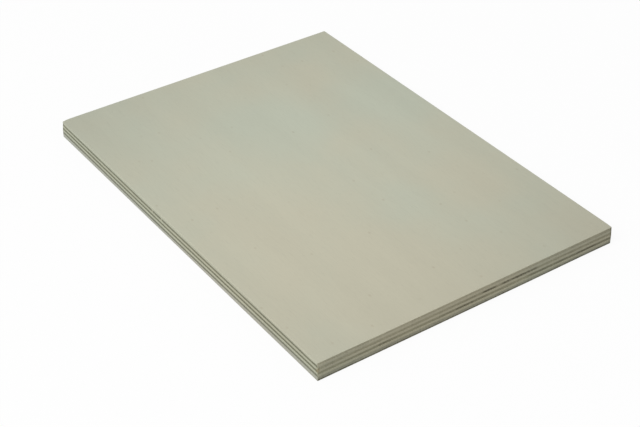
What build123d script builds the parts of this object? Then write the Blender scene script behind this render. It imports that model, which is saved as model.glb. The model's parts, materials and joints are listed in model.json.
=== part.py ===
from build123d import *
import os

# Panel as trimmed, with the grain of its face along the length
PANEL_LENGTH = 297.0
PANEL_WIDTH = 210.0

# Thickness of the veneers after pressing, and of the outer two after sanding
FACE_THICKNESS = 1.65
CROSSBAND_THICKNESS = 1.60
INNER_PLY_THICKNESS = 1.55
CORE_THICKNESS = 1.60
BACK_THICKNESS = 2.45

# Corners and rims as the sander leaves them
CORNER_RADIUS = 0.8
ARRIS_RADIUS = 0.3

# Lay-up from the back to the face, where the grain turns a quarter from each ply to the next
LAY_UP = [
    ("back_veneer", BACK_THICKNESS),
    ("lower_crossband", CROSSBAND_THICKNESS),
    ("lower_inner_ply", INNER_PLY_THICKNESS),
    ("core_ply", CORE_THICKNESS),
    ("upper_inner_ply", INNER_PLY_THICKNESS),
    ("upper_crossband", CROSSBAND_THICKNESS),
    ("face_veneer", FACE_THICKNESS),
]


def veneer(underside, thickness):
    """One ply trimmed to the panel's outline, lying on the given height."""
    outline = RectangleRounded(PANEL_LENGTH, PANEL_WIDTH, CORNER_RADIUS)
    return extrude(Plane.XY.offset(underside) * outline, thickness)


def ease_rim(surface):
    """The ply that the surface belongs to, with that surface's rim rounded over."""
    return fillet(surface.edges(), ARRIS_RADIUS)


# Each ply lies on the one below, glued over its whole face
plies = {}
height = 0.0
for name, thickness in LAY_UP:
    plies[name] = veneer(height, thickness)
    height += thickness

# Only the two outer plies have a rim that the sander reaches
plies["back_veneer"] = ease_rim(plies["back_veneer"].faces().sort_by(Axis.Z)[0])
plies["face_veneer"] = ease_rim(plies["face_veneer"].faces().sort_by(Axis.Z)[-1])

# One file for each ply
os.makedirs("parts", exist_ok=True)
for name, solid in plies.items():
    solid.label = name
    export_step(solid, f"parts/{name}.step")
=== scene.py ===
import json
import math

import bpy
import numpy as np
from mathutils import Matrix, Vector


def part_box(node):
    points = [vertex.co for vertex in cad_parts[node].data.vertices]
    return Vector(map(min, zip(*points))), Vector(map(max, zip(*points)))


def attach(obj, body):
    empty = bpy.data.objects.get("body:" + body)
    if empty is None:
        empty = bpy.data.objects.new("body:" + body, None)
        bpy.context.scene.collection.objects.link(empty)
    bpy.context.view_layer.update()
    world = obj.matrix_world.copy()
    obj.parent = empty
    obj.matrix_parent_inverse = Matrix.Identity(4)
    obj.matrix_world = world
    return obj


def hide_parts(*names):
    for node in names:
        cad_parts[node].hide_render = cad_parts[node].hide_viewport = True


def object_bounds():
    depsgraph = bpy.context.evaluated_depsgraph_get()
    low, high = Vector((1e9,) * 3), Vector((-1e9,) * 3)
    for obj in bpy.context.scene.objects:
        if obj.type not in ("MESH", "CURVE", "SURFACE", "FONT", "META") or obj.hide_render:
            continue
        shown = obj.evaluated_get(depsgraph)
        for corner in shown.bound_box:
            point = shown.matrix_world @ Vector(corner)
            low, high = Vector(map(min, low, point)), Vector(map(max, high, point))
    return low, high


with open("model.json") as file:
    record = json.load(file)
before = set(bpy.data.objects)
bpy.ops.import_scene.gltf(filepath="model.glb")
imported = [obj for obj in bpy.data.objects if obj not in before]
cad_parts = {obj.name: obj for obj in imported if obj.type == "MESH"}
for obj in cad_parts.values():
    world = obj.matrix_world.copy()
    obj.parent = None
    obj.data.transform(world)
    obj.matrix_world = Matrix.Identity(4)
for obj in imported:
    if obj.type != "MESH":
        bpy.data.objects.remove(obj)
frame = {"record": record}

MM = 0.001
cad_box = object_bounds()
LENGTH, WIDTH, THICKNESS = np.array(cad_box[1]) - np.array(cad_box[0])

# Plies from the back to the face, with the axis that their grain follows
PLIES = [
    ("back_veneer", "X"),
    ("lower_crossband", "Y"),
    ("lower_inner_ply", "X"),
    ("core_ply", "Y"),
    ("upper_inner_ply", "X"),
    ("upper_crossband", "Y"),
    ("face_veneer", "X"),
]
HEIGHTS = [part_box(node)[0].z for node, _ in PLIES] + [THICKNESS]
SLOTS = {part["node"]: part["material_slot"] for part in frame["record"]["subparts"]}

# Rounding of the outline and of the two outer rims, and the angle from which an edge is shaded sharp
CORNER = 0.5 * MM
ARRIS = 0.3 * MM
SHARP_ANGLE = math.radians(40)

# Steps of the mesh: along each side, over half a corner, up a ply and over a rim
LONG_STEPS = 768
SHORT_STEPS = 544
CORNER_STEPS = 4
SIDE_ROWS = (0, 0.04, 0.16, 0.32, 0.5, 0.68, 0.84, 0.96, 1)
RIM_ROWS = 4

# Rings inside the outline, each with half the steps of the one before, down to the last grid
RING_GAP = 0.5 * MM
FACE_HALVINGS = 2
GLUED_HALVINGS = 5

# Bake map: how many strips the sides are cut into and their area, then the sanded face and the glued faces
OUTER_BAND = (8, ((0, 0.72), (1, 0.93)))
INNER_BAND = (16, ((0, 0), (1, 0.9)))
STRIP_MARGIN = 0.08
SANDED_AREA = ((0, 0), (1, 0.707))
GLUED_AREAS = ((0.0, 0.935), (0.45, 1)), ((0.5, 0.935), (0.95, 1))

# Relief of the sawn sides, all of it inside the outline
GLUE_GROOVE = 0.05 * MM
END_GRAIN_RECESS = 0.05 * MM
END_GRAIN_FUZZ = 0.05 * MM
LONG_GRAIN_FIBRE = 0.02 * MM
SAW_MARK = 0.02 * MM
SAW_PITCH = 4.3 * MM
SAW_SLANT = 0.4
TEAR_DEPTH = 0.22 * MM
FACE_UNDULATION = 0.02 * MM

# Waves of the glue lines: one over the whole panel, and where the veneers press into each other
PANEL_WAVE = 0.38 * MM
BROAD_WAVE = 0.06 * MM
SHORT_WAVE = 0.03 * MM

# The panel's wave: its crest as a share of the length from the middle, and its half turns over the width
WAVE_CREST = 0.46
WAVE_HALF_TURNS = 0.86

# Sizes of the bumps, along and across: on the sanded faces, in the glue lines and on the sawn sides
LONG_SWELLS = (34 * MM, 11 * MM)
SMALL_SWELLS = (13 * MM, 5 * MM)
BROAD_BUMPS = (38 * MM, 38 * MM)
SHORT_BUMPS = (7 * MM, 7 * MM)
SAW_WANDER = (14 * MM, 1 * MM)
FUZZ_BUMPS = (0.9 * MM, 0.6 * MM)
FIBRE_BUMPS = (9 * MM, 0.3 * MM)
PIT_BUMPS = (1.7 * MM, 0.8 * MM)

# Torn stretches of the right side and stretches painted with shade: ply, start and end as shares of the
# side, and how badly
TEARS_AND_PAINTED_SHADE = [
    # The face and upper crossband at the near end and the face at the far end are painted shade
    ("face_veneer", -0.02, 0.16, 0.15),
    ("face_veneer", 0.84, 1.02, 0.1),
    ("upper_crossband", -0.02, 0.16, 0.15),
    ("upper_inner_ply", 0.46, 0.53, 0.3),
    ("upper_inner_ply", 0.525, 0.59, 1.1),
    ("upper_inner_ply", 0.587, 0.735, 1.0),
    ("upper_inner_ply", 0.80, 1.02, 0.15),
    ("lower_inner_ply", 0.08, 0.26, 0.2),
    ("lower_inner_ply", 0.175, 0.24, 0.6),
    ("lower_inner_ply", 0.38, 0.56, 0.4),
    ("lower_inner_ply", 0.43, 0.515, 0.9),
    ("lower_inner_ply", 0.69, 1.02, 0.5),
    ("lower_inner_ply", 0.86, 0.965, 1.0),
]
TEAR_FADE = 0.02
FRONT_SIDE = 0
RIGHT_SIDE = 1

# End grain along the lower rim, broken out by the saw and painted with contact shade: how high, how much of
# that it fades over, how badly
BREAKOUT_AND_SHADE_HEIGHT = 1.5 * MM
BREAKOUT_AND_SHADE_FADE = 1.0 * MM
BREAKOUT_AND_CONTACT_SHADE = 1.35

# Corners and stretches of rim that are rubbed round: the place, how far it moves inward along each axis,
# and how far along each axis the rub reaches, both in millimetres
RUBS = [
    ((-LENGTH / 2, -WIDTH / 2, THICKNESS), (0.5, 0.5, 0.2), (2.2, 2.2, 12.0)),
    ((LENGTH / 2, -WIDTH / 2, THICKNESS), (0.35, 0.35, 0.2), (2.2, 2.2, 5.0)),
    ((LENGTH / 2, -WIDTH / 2, THICKNESS), (0.35, 0.0, 0.0), (1.0, 25.0, 3.0)),
    ((LENGTH / 2, WIDTH / 2, THICKNESS), (0.15, 0.15, 0.1), (2.2, 2.2, 8.0)),
    ((LENGTH / 2, WIDTH / 2 - 18 * MM, 0.0), (0.0, 0.0, 0.27), (1.5, 22.0, 3.0)),
]

# Upright edges with painted shade along them, and how strong it is
SHADED_UPRIGHT_EDGES = [
    ((-LENGTH / 2, -WIDTH / 2), 0.6),
    ((LENGTH / 2, WIDTH / 2), 0.9),
]
UPRIGHT_SHADE_REACH = 2.0 * MM

# Pale splinters across one ply of the front side: their places and half their width as shares of the side
SPLINTER_PLY = "upper_crossband"
SPLINTER_PLACES = (0.407, 0.445)
SPLINTER_HALF = 0.004

# Brown mark on the near corner: its middle, how far it is even, how far it reaches, and its strength
MARK_PLACE = (LENGTH / 2, -WIDTH / 2, 0.6 * THICKNESS)
MARK_CORE = 0.66 * MM
MARK_REACH = 2.2 * MM
MARK_STRENGTH = 0.5

# Colours of bare poplar: the sanded face, its specks, torn end grain and painted shade, the brown mark, and
# the patches' tints
FACE = (0.520, 0.524, 0.408)
SPECK = (0.36, 0.32, 0.22, 1)
TORN_AND_SHADE_COLOUR = (0.106, 0.099, 0.060)
BROWN_MARK = (0.31, 0.24, 0.12, 1)
COOL = (0.962, 1.004, 1.038, 1)
WARM = (1.040, 0.990, 0.982, 1)

# Colours of each ply's sides: sawn along the grain and sawn across it
SAWN = {
    "back_veneer": ((0.460, 0.466, 0.388), (0.326, 0.330, 0.245)),
    "lower_crossband": ((0.446, 0.442, 0.320), (0.206, 0.212, 0.152)),
    "lower_inner_ply": ((0.505, 0.517, 0.390), (0.308, 0.303, 0.202)),
    "core_ply": ((0.446, 0.438, 0.317), (0.189, 0.194, 0.127)),
    "upper_inner_ply": ((0.491, 0.498, 0.370), (0.341, 0.331, 0.226)),
    "upper_crossband": ((0.450, 0.442, 0.321), (0.204, 0.208, 0.140)),
    "face_veneer": ((0.495, 0.508, 0.390), (0.381, 0.371, 0.262)),
}

# Textures that follow the grain, in bumps per metre along it, across it and up
FIGURE_SCALE = (9, 60, 350)
FIBRE_SCALE = (70, 2400, 2400)
PORE_SCALE = (160, 5200, 5200)
SPECK_SCALE = (42, 62, 42)

# Textures of the sawn sides and of the wood's warmth, in bumps per metre along X, Y and Z
UNEVEN_SCALE = (130, 130, 420)
FUZZ_SCALE = (1500, 1500, 1500)
SAW_LINE_SCALE = (1100, 1100, 45)
TUFT_SCALE = (900, 900, 450)
WARMTH_SCALE = (28, 34, 350)

# How much the textures vary the brightness of the sanded face
FACE_FIGURE = 0.04
FACE_FIBRE = 0.05
FACE_PORES = 0.09

# How much they vary the sawn sides: along the grain, across it, and on both
LONG_FIGURE = 0.06
LONG_FIBRE = 0.16
END_UNEVENNESS = 0.22
END_FUZZ = 0.30
SAW_LINES = 0.10
GLUE_DARKNESS = 0.15

# Where the noise makes pores and tufts in the torn grain and the painted shade, and how strong the tufts are
PORE_RANGE = (0.60, 0.72)
TUFT_RANGE = (0.30, 0.68)
TUFT_TEAR = (0.35, 0.95)

# Specks: their size from full to none, the share of places that have none, and their greatest strength
SPECK_SIZE = (0.015, 0.065)
SPECK_RARITY = 0.5
SPECK_STRENGTH = 0.34

# Finish of the bare wood, rougher as the fibre's noise rises over its range
FIBRE_RANGE = (0.3, 0.7)
ROUGHNESS = (0.62, 0.74)
SPECULAR = 0.3
BUMP_STRENGTH = 0.25
BUMP_DEPTH = 0.05 * MM

# Painted light on the face: its brightest place, and how far from it along two slanting axes it is painted a
# tenth darker
PAINTED_LIGHT_PLACE = (0.008, -0.019, THICKNESS)
PAINTED_LIGHT_TURN = math.radians(53)
PAINTED_LIGHT_REACH = (0.137, 0.202, 1.0)
PAINTED_LIGHT_FALL = 0.1

# Patches of the wood: place, reach, and how much cooler or warmer it is there
PATCHES = [
    (-0.062, 0.006, 0.055, -0.8),
    (-0.050, 0.085, 0.050, -0.7),
    (-0.120, -0.070, 0.080, -0.2),
    (0.060, 0.065, 0.045, 0.5),
    (0.070, -0.060, 0.110, 0.7),
    (0.055, 0.018, 0.035, -0.4),
    (-0.105, 0.055, 0.030, 0.3),
    (0.145, -0.020, 0.080, 0.8),
    (0.148, 0.105, 0.055, 0.4),
]

# Painted shade on the sawn sides: place, reach, and how much darker it is painted there
PAINTED_SIDE_SHADES = [
    (LENGTH / 2 - 0.040, -WIDTH / 2, 0.055, -0.08),
    (LENGTH / 2, WIDTH / 2, 0.080, -0.17),
]

# Share of a patch's reach over which it is even, and how far noise varies the warmth between the patches
PATCH_CORE = 0.2
WARMTH_SWING = 0.5

# Camera that took the photograph
CAMERA_PLACE = (0.64439, -0.43536, 0.53092)
CAMERA_YAW = math.radians(146.054)
CAMERA_PITCH = math.radians(35.328)
CAMERA_ROLL = math.radians(-1.026)
CAMERA_LENS = 84.584
SENSOR_WIDTH = 36.0

# Light that the photograph was taken in, and the floor: its tone for light and to the eye, and its own glow
WHITE = (1, 1, 1, 1)
AMBIENT = 0.55
KEY_PLACE = (0.36, -1.89, 2.3)
KEY_SIZE = 1.8
KEY_POWER = 52.0
FLOOR_SIZE = 8.0
FLOOR_TONE = (0.55, 0.55, 0.55, 1)
FLOOR_WHITE = (0.9, 0.9, 0.9, 1)
FLOOR_GLOW = 0.92


# Noise for the meshes

def ripple(x, y, size, seed):
    """Smooth noise from -1 to 1, with bumps of the given size along and across."""
    count = 64
    lattice = np.random.RandomState(seed).uniform(-1, 1, (count, count))
    x, y = x / size[0], y / size[1]
    left, low = np.floor(x).astype(int), np.floor(y).astype(int)
    across, up = ease(x - left), ease(y - low)
    corner = [[lattice[(left + i) % count, (low + j) % count] for j in (0, 1)] for i in (0, 1)]
    near = corner[0][0] * (1 - across) + corner[1][0] * across
    far = corner[0][1] * (1 - across) + corner[1][1] * across
    return near * (1 - up) + far * up


def ease(value):
    """A smooth step from 0 to 1."""
    value = np.clip(value, 0, 1)
    return value ** 2 * (3 - 2 * value)


# Outline and rings

def sides():
    """Each side's direction, outward normal, half length, distance from the centre and steps."""
    for number in range(4):
        turn = number * math.pi / 2
        along = np.array([math.cos(turn), math.sin(turn)])
        out = np.array([math.sin(turn), -math.cos(turn)])
        halves = (LENGTH / 2, WIDTH / 2) if number % 2 == 0 else (WIDTH / 2, LENGTH / 2)
        yield along, out, *halves, LONG_STEPS if number % 2 == 0 else SHORT_STEPS


def outline():
    """Places and outward normals from the left front corner on, with each one's side and share of it."""
    places, normals, numbers, shares = [], [], [], []
    for number, (along, out, reach, away, steps) in enumerate(sides()):
        step = np.arange(steps)
        share = np.clip((step - CORNER_STEPS) / (steps - 2 * CORNER_STEPS), 0, 1)
        turned = np.minimum(step, CORNER_STEPS) - CORNER_STEPS + np.maximum(step + CORNER_STEPS - steps, 0)
        lean = (turned / CORNER_STEPS * math.pi / 4)[:, None]
        normal = out * np.cos(lean) + along * np.sin(lean)
        straight = along * ((reach - CORNER) * (2 * share - 1))[:, None] + out * (away - CORNER)
        places.append(straight + CORNER * normal)
        normals.append(normal)
        numbers.append(np.full(steps, number))
        shares.append(share)
    return tuple(np.concatenate(parts) for parts in (places, normals, numbers, shares))


def inner_ring(halvings, inset):
    """Evenly spaced places on a rectangle inside the outline."""
    places = []
    for along, out, reach, away, steps in sides():
        share = np.arange(steps >> halvings) / (steps >> halvings)
        places.append(along * ((reach - inset) * (2 * share - 1))[:, None] + out * (away - inset))
    return np.concatenate(places)


# Mesh of one ply

class Skin:
    """A ply's growing mesh: points with their marks, and faces with their places on the bake map."""

    # The torn mark carries the tears and also painted shade: along the lower rim, on two upright edges and
    # on some stretches
    MARKS = ("side", "end_grain", "glue", "tears_and_shade")

    def __init__(self):
        self.points = np.empty((0, 3))
        self.marks = np.empty((0, len(self.MARKS)))
        self.faces = []
        self.map = []

    def add_points(self, places, heights, *marks):
        """The numbers of new points, one to each place."""
        first = len(self.points)
        count = len(places)
        heights = np.broadcast_to(heights, count)
        self.points = np.vstack([self.points, np.column_stack([places, heights])])
        self.marks = np.vstack([self.marks, np.column_stack([np.broadcast_to(m, count) for m in marks])])
        return np.arange(first, first + count)

    def add_faces(self, faces, places):
        """Faces between numbered points, with a place on the map for each corner."""
        self.faces.extend(faces.tolist())
        self.map.append(places.reshape(-1, 2))

    def add_flat_faces(self, faces, area):
        """Faces of a flat side, laid on an area of the map as they lie on the panel."""
        (left, low), (right, high) = area
        share = self.points[faces][:, :, :2] / (LENGTH, WIDTH) + 0.5
        self.add_faces(faces, np.array([left, low]) + share * np.array([right - left, high - low]))

    def piece(self, name, material, long_tone, end_tone):
        """The finished object, with the colour of its sides in an attribute."""
        mesh = bpy.data.meshes.new(name)
        mesh.from_pydata(rubbed(self.points).tolist(), [], self.faces)
        for mark, values in zip(self.MARKS, self.marks.T):
            mesh.attributes.new(mark, "FLOAT", "POINT").data.foreach_set("value", values.astype(np.float32))
        share = self.marks[:, [self.MARKS.index("end_grain")]]
        tones = np.array([*long_tone, 1]) * (1 - share) + np.array([*end_tone, 1]) * share
        sawn = mesh.attributes.new("sawn", "FLOAT_COLOR", "POINT")
        sawn.data.foreach_set("color", tones.astype(np.float32).ravel())
        layer = mesh.uv_layers.new(name="OFBake")
        layer.uv.foreach_set("vector", np.concatenate(self.map).astype(np.float32).ravel())
        mesh.materials.append(material)
        mesh.shade_smooth()
        mesh.set_sharp_from_angle(angle=SHARP_ANGLE)
        piece = bpy.data.objects.new(name, mesh)
        bpy.context.collection.objects.link(piece)
        return piece


def add_band(skin, rings, strips, area):
    """Faces between rings of equal steps, cut into strips that are stacked on an area of the map."""
    (left, low), (right, high) = area
    steps = len(rings[0])
    columns = steps // strips
    pitch = (high - low) / strips
    margin = STRIP_MARGIN * pitch
    column = np.arange(steps)
    start = left + (right - left) * (column % columns) / columns
    end = start + (right - left) / columns
    foot = low + pitch * (column // columns) + margin
    rise = (pitch - 2 * margin) / (len(rings) - 1)
    for row, (below, above) in enumerate(zip(rings, rings[1:])):
        faces = np.column_stack([below, np.roll(below, -1), np.roll(above, -1), above])
        bottom, top = foot + rise * row, foot + rise * (row + 1)
        corners = [(start, bottom), (end, bottom), (end, top), (start, top)]
        skin.add_faces(faces, np.stack([np.column_stack(corner) for corner in corners], axis=1))


def add_flat_side(skin, ring, halvings, inset, height, upward, area):
    """Closes a ring with smaller rings and a grid, at the height that each place has."""
    turned = slice(None) if upward else slice(None, None, -1)
    for halving in range(1, halvings + 1):
        inset += RING_GAP * 2 ** (halving - 1)
        places = inner_ring(halving, inset)
        inner = skin.add_points(places, height(*places.T), 0, 0, 0, 0)
        first, middle, last = ring[0::2], ring[1::2], np.roll(ring, -2)[0::2]
        after = np.roll(inner, -1)
        for corners in ((first, middle, inner), (middle, after, inner), (middle, last, after)):
            skin.add_flat_faces(np.column_stack(corners)[:, turned], area)
        ring = inner
    columns, rows = LONG_STEPS >> halvings, SHORT_STEPS >> halvings
    grid = np.empty((rows + 1, columns + 1), int)
    grid[0, :-1], grid[:-1, -1] = ring[:columns], ring[columns:columns + rows]
    grid[-1, :0:-1], grid[:0:-1, 0] = ring[columns + rows:2 * columns + rows], ring[2 * columns + rows:]
    x = np.linspace(-1, 1, columns + 1)[1:-1] * (LENGTH / 2 - inset)
    y = np.linspace(-1, 1, rows + 1)[1:-1] * (WIDTH / 2 - inset)
    x, y = (axis.ravel() for axis in np.meshgrid(x, y))
    inside = skin.add_points(np.column_stack([x, y]), height(x, y), 0, 0, 0, 0)
    grid[1:-1, 1:-1] = inside.reshape(rows - 1, columns - 1)
    quads = np.stack([grid[:-1, :-1], grid[:-1, 1:], grid[1:, 1:], grid[1:, :-1]], axis=-1)
    skin.add_flat_faces(quads.reshape(-1, 4)[:, turned], area)


def boundary(number, x, y):
    """Height of the boundary below the ply of this number, wavy where it is a glue line."""
    if number in (0, len(PLIES)):
        swells = 0.3 * ripple(x, y, LONG_SWELLS, seed=41) + 0.2 * ripple(x, y, SMALL_SWELLS, seed=42)
        depth = 0.5 + swells
        return HEIGHTS[number] + FACE_UNDULATION * depth * (1 if number == 0 else -1)
    over_length = np.cos(2 * math.pi * (x / LENGTH - WAVE_CREST))
    over_width = np.cos(WAVE_HALF_TURNS * math.pi * (y / WIDTH + 0.5))
    broad = ripple(x, y, BROAD_BUMPS, seed=number)
    short = ripple(x, y, SHORT_BUMPS, seed=20 + number)
    panel = over_length * over_width
    return HEIGHTS[number] + PANEL_WAVE * panel + BROAD_WAVE * broad + SHORT_WAVE * short


def rubbed(points):
    """The points with the rubbed places moved inward, most of all at the rim."""
    middle = np.array([0, 0, THICKNESS / 2])
    for place, moves, reach in RUBS:
        away = np.abs(points - place) / np.multiply(reach, MM)
        share = np.exp(-(away[:, :2] ** 2).sum(1) / 2) * ease(1 - away[:, 2]) ** 2
        points = points - share[:, None] * np.sign(place - middle) * np.multiply(moves, MM)
    return points


def relief(places, height, end_grain, tears_and_shade, seed):
    """How far the sawn side lies inside the outline."""
    along = places[:, 0] - places[:, 1]
    wander = ripple(along, np.zeros(len(along)), SAW_WANDER, seed=60)
    saw = 0.5 + 0.5 * np.sin((along + SAW_SLANT * height) / SAW_PITCH * 2 * math.pi + 2 * wander)
    fuzz = 0.5 + 0.5 * ripple(along, height, FUZZ_BUMPS, seed=70 + seed)
    fibre = 0.5 + 0.5 * ripple(along, height, FIBRE_BUMPS, seed=80 + seed)
    pitted = 0.6 + 0.4 * ripple(along, height, PIT_BUMPS, seed=90 + seed)
    end = END_GRAIN_RECESS + END_GRAIN_FUZZ * fuzz + TEAR_DEPTH * tears_and_shade * pitted
    return SAW_MARK * saw + end_grain * end + (1 - end_grain) * LONG_GRAIN_FIBRE * fibre


def tears_and_shade_share(node, side_numbers, shares):
    """How badly a ply is torn and painted with shade at each place, given the place's side and its share of
    that side.
    """
    tears_and_shade = np.zeros(len(shares))
    for ply, start, end, strength in TEARS_AND_PAINTED_SHADE:
        if ply == node:
            rise = ease((shares - start) / TEAR_FADE) * ease((end - shares) / TEAR_FADE)
            tears_and_shade = np.maximum(tears_and_shade, strength * rise * (side_numbers == RIGHT_SIDE))
    return tears_and_shade


def end_share(node, grain, normals, side_numbers, shares):
    """1 where a ply's side is sawn across the grain, and 0 along the grain or under a splinter."""
    end_grain = ease(normals[:, 0 if grain == "X" else 1] ** 2 * 2 - 0.5)
    for splinter in SPLINTER_PLACES if node == SPLINTER_PLY else ():
        bare = ease(np.abs(shares - splinter) / SPLINTER_HALF)
        end_grain = np.where(side_numbers == FRONT_SIDE, end_grain * bare, end_grain)
    return end_grain


def build_ply(number, material):
    """One veneer with sawn sides and wavy glue lines; the outer two have a rounded rim and a sanded face."""
    node, grain = PLIES[number]
    places, normals, side_numbers, shares = outline()
    end_grain = end_share(node, grain, normals, side_numbers, shares)
    tears_and_shade = tears_and_shade_share(node, side_numbers, shares)
    # Painted shade along two upright edges
    upright_shade = sum(
        strength * ease(1 - np.linalg.norm(places - corner, axis=1) / UPRIGHT_SHADE_REACH)
        for corner, strength in SHADED_UPRIGHT_EDGES)
    below, above = (boundary(level, *places.T) for level in (number, number + 1))
    is_back, is_face = number == 0, number == len(PLIES) - 1
    skin = Skin()
    rings = []

    def add_ring(heights, rim_inset, side, glue):
        """A ring round the panel at these heights, set in by the rim and by the relief of its side."""
        # Along the lower rim the end grain is set in where the saw broke it out, and painted with contact
        # shade
        broken_and_shaded = BREAKOUT_AND_CONTACT_SHADE * end_grain * ease((BREAKOUT_AND_SHADE_HEIGHT - heights) / BREAKOUT_AND_SHADE_FADE)
        rough = side * np.maximum(tears_and_shade, broken_and_shaded)
        inset = rim_inset + side * relief(places, heights, end_grain, rough, number)
        moved = places - normals * inset[:, None]
        # The dark mark holds the tears and the painted shade of the rim, the upright edges and some
        # stretches
        dark = np.maximum(rough, side * upright_shade)
        rings.append(skin.add_points(moved, heights, side, end_grain, glue, dark))

    bends = np.linspace(0, math.pi / 2, RIM_ROWS + 1)
    if is_back:
        for bend in bends[:-1]:
            add_ring(below + ARRIS * (1 - math.cos(bend)), ARRIS * (1 - math.sin(bend)), bend / bends[-1], 0)
    foot = below + ARRIS * is_back
    top = above - ARRIS * is_face
    for share in SIDE_ROWS:
        glued = (share == 0 and not is_back) or (share == 1 and not is_face)
        add_ring(foot + (top - foot) * share, GLUE_GROOVE * glued, 1.0, glued)
    if is_face:
        for bend in bends[1:]:
            add_ring(top + ARRIS * math.sin(bend), ARRIS * (1 - math.cos(bend)), 1 - bend / bends[-1], 0)

    add_band(skin, rings, *(OUTER_BAND if is_back or is_face else INNER_BAND))
    for upward, sanded, ring in ((False, is_back, rings[0]), (True, is_face, rings[-1])):
        level = number + upward
        add_flat_side(
            skin, ring, FACE_HALVINGS if sanded else GLUED_HALVINGS, ARRIS if sanded else 0,
            lambda x, y, level=level: boundary(level, x, y), upward,
            SANDED_AREA if sanded else GLUED_AREAS[upward])
    return skin.piece(node + "_wood", material, *SAWN[node])


# Shader nodes

def add(tree, kind, inputs=None, **settings):
    """A shader node with its settings, and inputs given as values or as the sockets that feed them."""
    node = tree.nodes.new("ShaderNode" + kind)
    for name, value in settings.items():
        setattr(node, name, value)
    for name, value in (inputs or {}).items():
        if isinstance(value, bpy.types.NodeSocket):
            tree.links.new(value, node.inputs[name])
        else:
            node.inputs[name].default_value = value
    return node


def attribute(tree, name, output):
    """A mark or a colour that the mesh carries."""
    return add(tree, "Attribute", attribute_name=name).outputs[output]


def maths(tree, operation, *values):
    """The result of a sum on values or sockets."""
    return add(tree, "Math", dict(enumerate(values)), operation=operation).outputs[0]


def blend(tree, share, first, second):
    """A colour between two others."""
    return add(tree, "Mix", {0: share, 6: first, 7: second}, data_type="RGBA").outputs[2]


def scaled(tree, colour, amount):
    """A colour made brighter or darker."""
    return add(tree, "VectorMath", {0: colour, "Scale": amount}, operation="SCALE").outputs[0]


def distance(tree, place, spot):
    """How far a place is from a spot."""
    return add(tree, "VectorMath", {0: place, 1: spot}, operation="DISTANCE").outputs["Value"]


def between(tree, value, start, end, low=0.0, high=1.0):
    """A smooth step of a value, from low to high."""
    inputs = {"Value": value, "From Min": start, "From Max": end, "To Min": low, "To Max": high}
    return add(tree, "MapRange", inputs, interpolation_type="SMOOTHSTEP").outputs[0]


def noise(tree, place, scale, detail=2.0):
    """Noise with the given bumps per metre along each axis."""
    stretched = add(tree, "Mapping", {"Vector": place, "Scale": scale}).outputs[0]
    return add(tree, "TexNoise", {"Vector": stretched, "Scale": 1.0, "Detail": detail}).outputs[0]


def varied(tree, value, amount):
    """A brightness about 1, from a noise about a half."""
    return maths(tree, "MULTIPLY_ADD", value, 2 * amount, 1 - amount)


def darkened(tree, light, value, amount):
    """A brightness that is lower by the given share where a value is 1."""
    return maths(tree, "MULTIPLY", light, maths(tree, "MULTIPLY_ADD", value, -amount, 1.0))


def specks(tree, place, scale):
    """Small scattered specks, most of them faint."""
    stretched = add(tree, "Mapping", {"Vector": place, "Scale": scale}).outputs[0]
    cells = add(tree, "TexVoronoi", {"Vector": stretched, "Scale": 1.0}, voronoi_dimensions="2D").outputs
    chance = add(tree, "SeparateColor", {0: cells["Color"]}).outputs[0]
    strength = between(tree, chance, SPECK_RARITY, 1.0, 0.0, SPECK_STRENGTH)
    return maths(tree, "MULTIPLY", between(tree, cells["Distance"], *SPECK_SIZE, 1.0, 0.0), strength)


def patchy(tree, place, value, patches):
    """A value raised or lowered by half of each patch's amount at the patch's middle."""
    for x, y, reach, amount in patches:
        far = distance(tree, place, (x, y, THICKNESS))
        value = maths(tree, "ADD", value, between(tree, far, PATCH_CORE * reach, reach, amount / 2, 0.0))
    return value


# Materials

def grained(grain, scale):
    """A texture's scale along X, Y and Z, from its scale along the grain, across it and up."""
    along, across, up = scale
    return (along, across, up) if grain == "X" else (across, along, up)


def sanded_face(tree, place, grain, figure, fibre):
    """Colour of the sanded face: painted light brightest in the middle, with faint figure, fibre, pores and
    specks.
    """
    slanted = add(
        tree, "Mapping",
        {"Vector": place, "Location": PAINTED_LIGHT_PLACE, "Rotation": (0, 0, PAINTED_LIGHT_TURN), "Scale": PAINTED_LIGHT_REACH},
        vector_type="TEXTURE").outputs[0]
    from_middle = add(tree, "VectorMath", {0: slanted, 1: slanted}, operation="DOT_PRODUCT").outputs["Value"]
    pores = between(tree, noise(tree, place, grained(grain, PORE_SCALE)), *PORE_RANGE)
    # Painted light: brightest at one place, falling off along two slanting axes
    light = maths(tree, "MULTIPLY_ADD", from_middle, -PAINTED_LIGHT_FALL, varied(tree, figure, FACE_FIGURE))
    light = maths(tree, "MULTIPLY", light, varied(tree, fibre, FACE_FIBRE))
    light = darkened(tree, light, pores, FACE_PORES)
    return blend(tree, specks(tree, place, grained(grain, SPECK_SCALE)), scaled(tree, FACE, light), SPECK)


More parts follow.
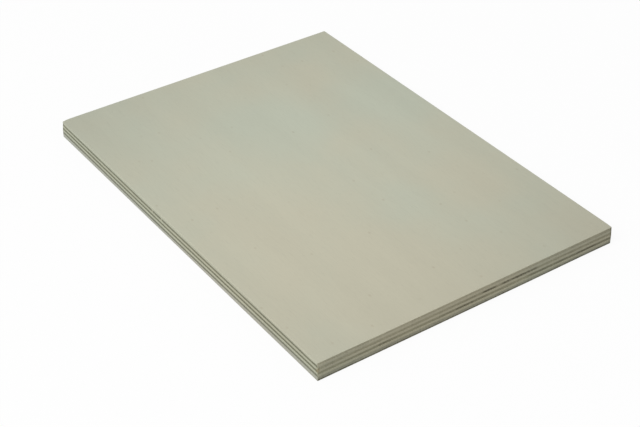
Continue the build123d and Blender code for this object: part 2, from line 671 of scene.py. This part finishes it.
def sawn_side(tree, place, marks, figure, fibre, fuzz):
    """Colour of the sawn sides: streaks or dark open ends, torn in places, with saw lines, dark glue and
    painted shade.
    """
    uneven = noise(tree, place, UNEVEN_SCALE, detail=3.0)
    long_light = maths(tree, "MULTIPLY", varied(tree, figure, LONG_FIGURE), varied(tree, fibre, LONG_FIBRE))
    end_light = maths(tree, "MULTIPLY", varied(tree, uneven, END_UNEVENNESS), varied(tree, fuzz, END_FUZZ))
    light = add(tree, "Mix", {0: marks["end_grain"], 2: long_light, 3: end_light}).outputs[0]
    light = maths(tree, "MULTIPLY", light, varied(tree, noise(tree, place, SAW_LINE_SCALE), SAW_LINES))
    light = darkened(tree, light, marks["glue"], GLUE_DARKNESS)
    # Painted shade: stretches of the sides are made darker
    light = maths(tree, "MULTIPLY", light, patchy(tree, place, 1.0, PAINTED_SIDE_SHADES))
    sawn = scaled(tree, attribute(tree, "sawn", "Color"), light)
    # Torn grain and painted shade take the dark torn colour in ragged tufts
    tufts = between(tree, noise(tree, place, TUFT_SCALE, detail=4.0), *TUFT_RANGE, *TUFT_TEAR)
    ragged_tears_and_shade = maths(tree, "MULTIPLY", marks["tears_and_shade"], tufts)
    return blend(tree, ragged_tears_and_shade, sawn, scaled(tree, TORN_AND_SHADE_COLOUR, light))


def tinted(tree, place, colour):
    """A colour with the wood's cool and warm patches."""
    clouds = noise(tree, place, WARMTH_SCALE)
    warmth = maths(tree, "MULTIPLY_ADD", clouds, WARMTH_SWING, (1 - WARMTH_SWING) / 2)
    warmth = between(tree, patchy(tree, place, warmth, PATCHES), 0.0, 1.0)
    tint = blend(tree, warmth, COOL, WARM)
    return add(tree, "VectorMath", {0: colour, 1: tint}, operation="MULTIPLY").outputs[0]


def stained(tree, place, colour):
    """A colour with the brown mark on the near corner."""
    far = distance(tree, place, MARK_PLACE)
    share = between(tree, far, MARK_CORE, MARK_REACH, MARK_STRENGTH, 0.0)
    return blend(tree, share, colour, BROWN_MARK)


def poplar(slot, grain, marked):
    """Bare poplar with its grain along one axis, pale where it is cut along the grain and dark across it."""
    material = bpy.data.materials.new(slot)
    material.use_nodes = True
    tree = material.node_tree
    tree.nodes.clear()
    place = add(tree, "TexCoord").outputs["Object"]
    marks = {name: attribute(tree, name, "Fac") for name in Skin.MARKS}
    figure = noise(tree, place, grained(grain, FIGURE_SCALE), detail=3.0)
    fibre = noise(tree, place, grained(grain, FIBRE_SCALE))
    fuzz = noise(tree, place, FUZZ_SCALE, detail=3.0)
    face = sanded_face(tree, place, grain, figure, fibre)
    colour = blend(tree, marks["side"], face, sawn_side(tree, place, marks, figure, fibre, fuzz))
    colour = tinted(tree, place, colour)
    if marked:
        colour = stained(tree, place, colour)
    rough = between(tree, fibre, *FIBRE_RANGE, *ROUGHNESS)
    ends = maths(tree, "MULTIPLY", marks["side"], marks["end_grain"])
    bumps = maths(tree, "ADD", fibre, maths(tree, "MULTIPLY", ends, fuzz))
    bump = add(tree, "Bump", {"Height": bumps, "Strength": BUMP_STRENGTH, "Distance": BUMP_DEPTH}).outputs[0]
    shader = add(tree, "BsdfPrincipled", {
        "Base Color": colour, "Roughness": rough, "Normal": bump, "Specular IOR Level": SPECULAR})
    add(tree, "OutputMaterial", {"Surface": shader.outputs[0]})
    return material


# Studio

def seen_directly(tree):
    """1 for what the camera sees, straight or by reflection or through glass."""
    path = add(tree, "LightPath").outputs
    seen = maths(tree, "MAXIMUM", path["Is Camera Ray"], path["Is Glossy Ray"])
    return maths(tree, "MAXIMUM", seen, path["Is Transmission Ray"])


def floor():
    """A white floor that keeps the panel's shadow and gives back a plain grey light."""
    half = FLOOR_SIZE / 2
    corners = [(-half, -half, 0), (half, -half, 0), (half, half, 0), (-half, half, 0)]
    mesh = bpy.data.meshes.new("floor")
    mesh.from_pydata(corners, [], [(0, 1, 2, 3)])
    material = bpy.data.materials.new("white_floor")
    material.use_nodes = True
    tree = material.node_tree
    tree.nodes.clear()
    plain = add(tree, "BsdfDiffuse", {"Color": FLOOR_TONE}).outputs[0]
    white = add(tree, "BsdfDiffuse", {"Color": FLOOR_WHITE}).outputs[0]
    glow = add(tree, "Emission", {"Color": WHITE, "Strength": 1.0}).outputs[0]
    shown = add(tree, "MixShader", {0: FLOOR_GLOW, 1: white, 2: glow}).outputs[0]
    surface = add(tree, "MixShader", {0: seen_directly(tree), 1: plain, 2: shown}).outputs[0]
    add(tree, "OutputMaterial", {"Surface": surface})
    mesh.materials.append(material)
    piece = bpy.data.objects.new("floor", mesh)
    bpy.context.collection.objects.link(piece)


def lamp_and_sky():
    """One large soft lamp to the left of the camera, and an even sky that shows white."""
    lamp = bpy.data.lights.new("key", "AREA")
    lamp.size = KEY_SIZE
    lamp.energy = KEY_POWER
    key = bpy.data.objects.new("key", lamp)
    key.location = KEY_PLACE
    key.rotation_euler = (-key.location).to_track_quat("-Z", "Y").to_euler()
    bpy.context.collection.objects.link(key)
    world = bpy.data.worlds.new("studio")
    bpy.context.scene.world = world
    world.use_nodes = True
    tree = world.node_tree
    tree.nodes.clear()
    sky = add(tree, "Background", {"Color": WHITE, "Strength": AMBIENT}).outputs[0]
    backdrop = add(tree, "Background", {"Color": WHITE, "Strength": 1.0}).outputs[0]
    surface = add(tree, "MixShader", {0: seen_directly(tree), 1: sky, 2: backdrop}).outputs[0]
    add(tree, "OutputWorld", {"Surface": surface})


def camera():
    """The photograph's camera."""
    lens = bpy.data.cameras.new("camera")
    lens.lens = CAMERA_LENS
    lens.sensor_width = SENSOR_WIDTH
    lens.sensor_fit = "HORIZONTAL"
    viewer = bpy.data.objects.new("camera", lens)
    turn = Matrix.Rotation(CAMERA_YAW - math.pi / 2, 3, "Z")
    tilt = Matrix.Rotation(math.pi / 2 - CAMERA_PITCH, 3, "X")
    roll = Matrix.Rotation(CAMERA_ROLL, 3, "Z")
    viewer.location = CAMERA_PLACE
    viewer.rotation_euler = (turn @ tilt @ roll).to_euler()
    bpy.context.collection.objects.link(viewer)
    bpy.context.scene.camera = viewer


MATERIALS = {
    "surface_veneer": poplar("surface_veneer", "X", marked=False),
    "long_ply": poplar("long_ply", "X", marked=True),
    "cross_ply": poplar("cross_ply", "Y", marked=True),
}
for number, (node, _) in enumerate(PLIES):
    slot = SLOTS[node]
    ply = build_ply(number, MATERIALS[slot])
    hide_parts(node)
    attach(ply, "root")
floor()
lamp_and_sky()
camera()
bpy.context.scene.view_settings.view_transform = "Standard"
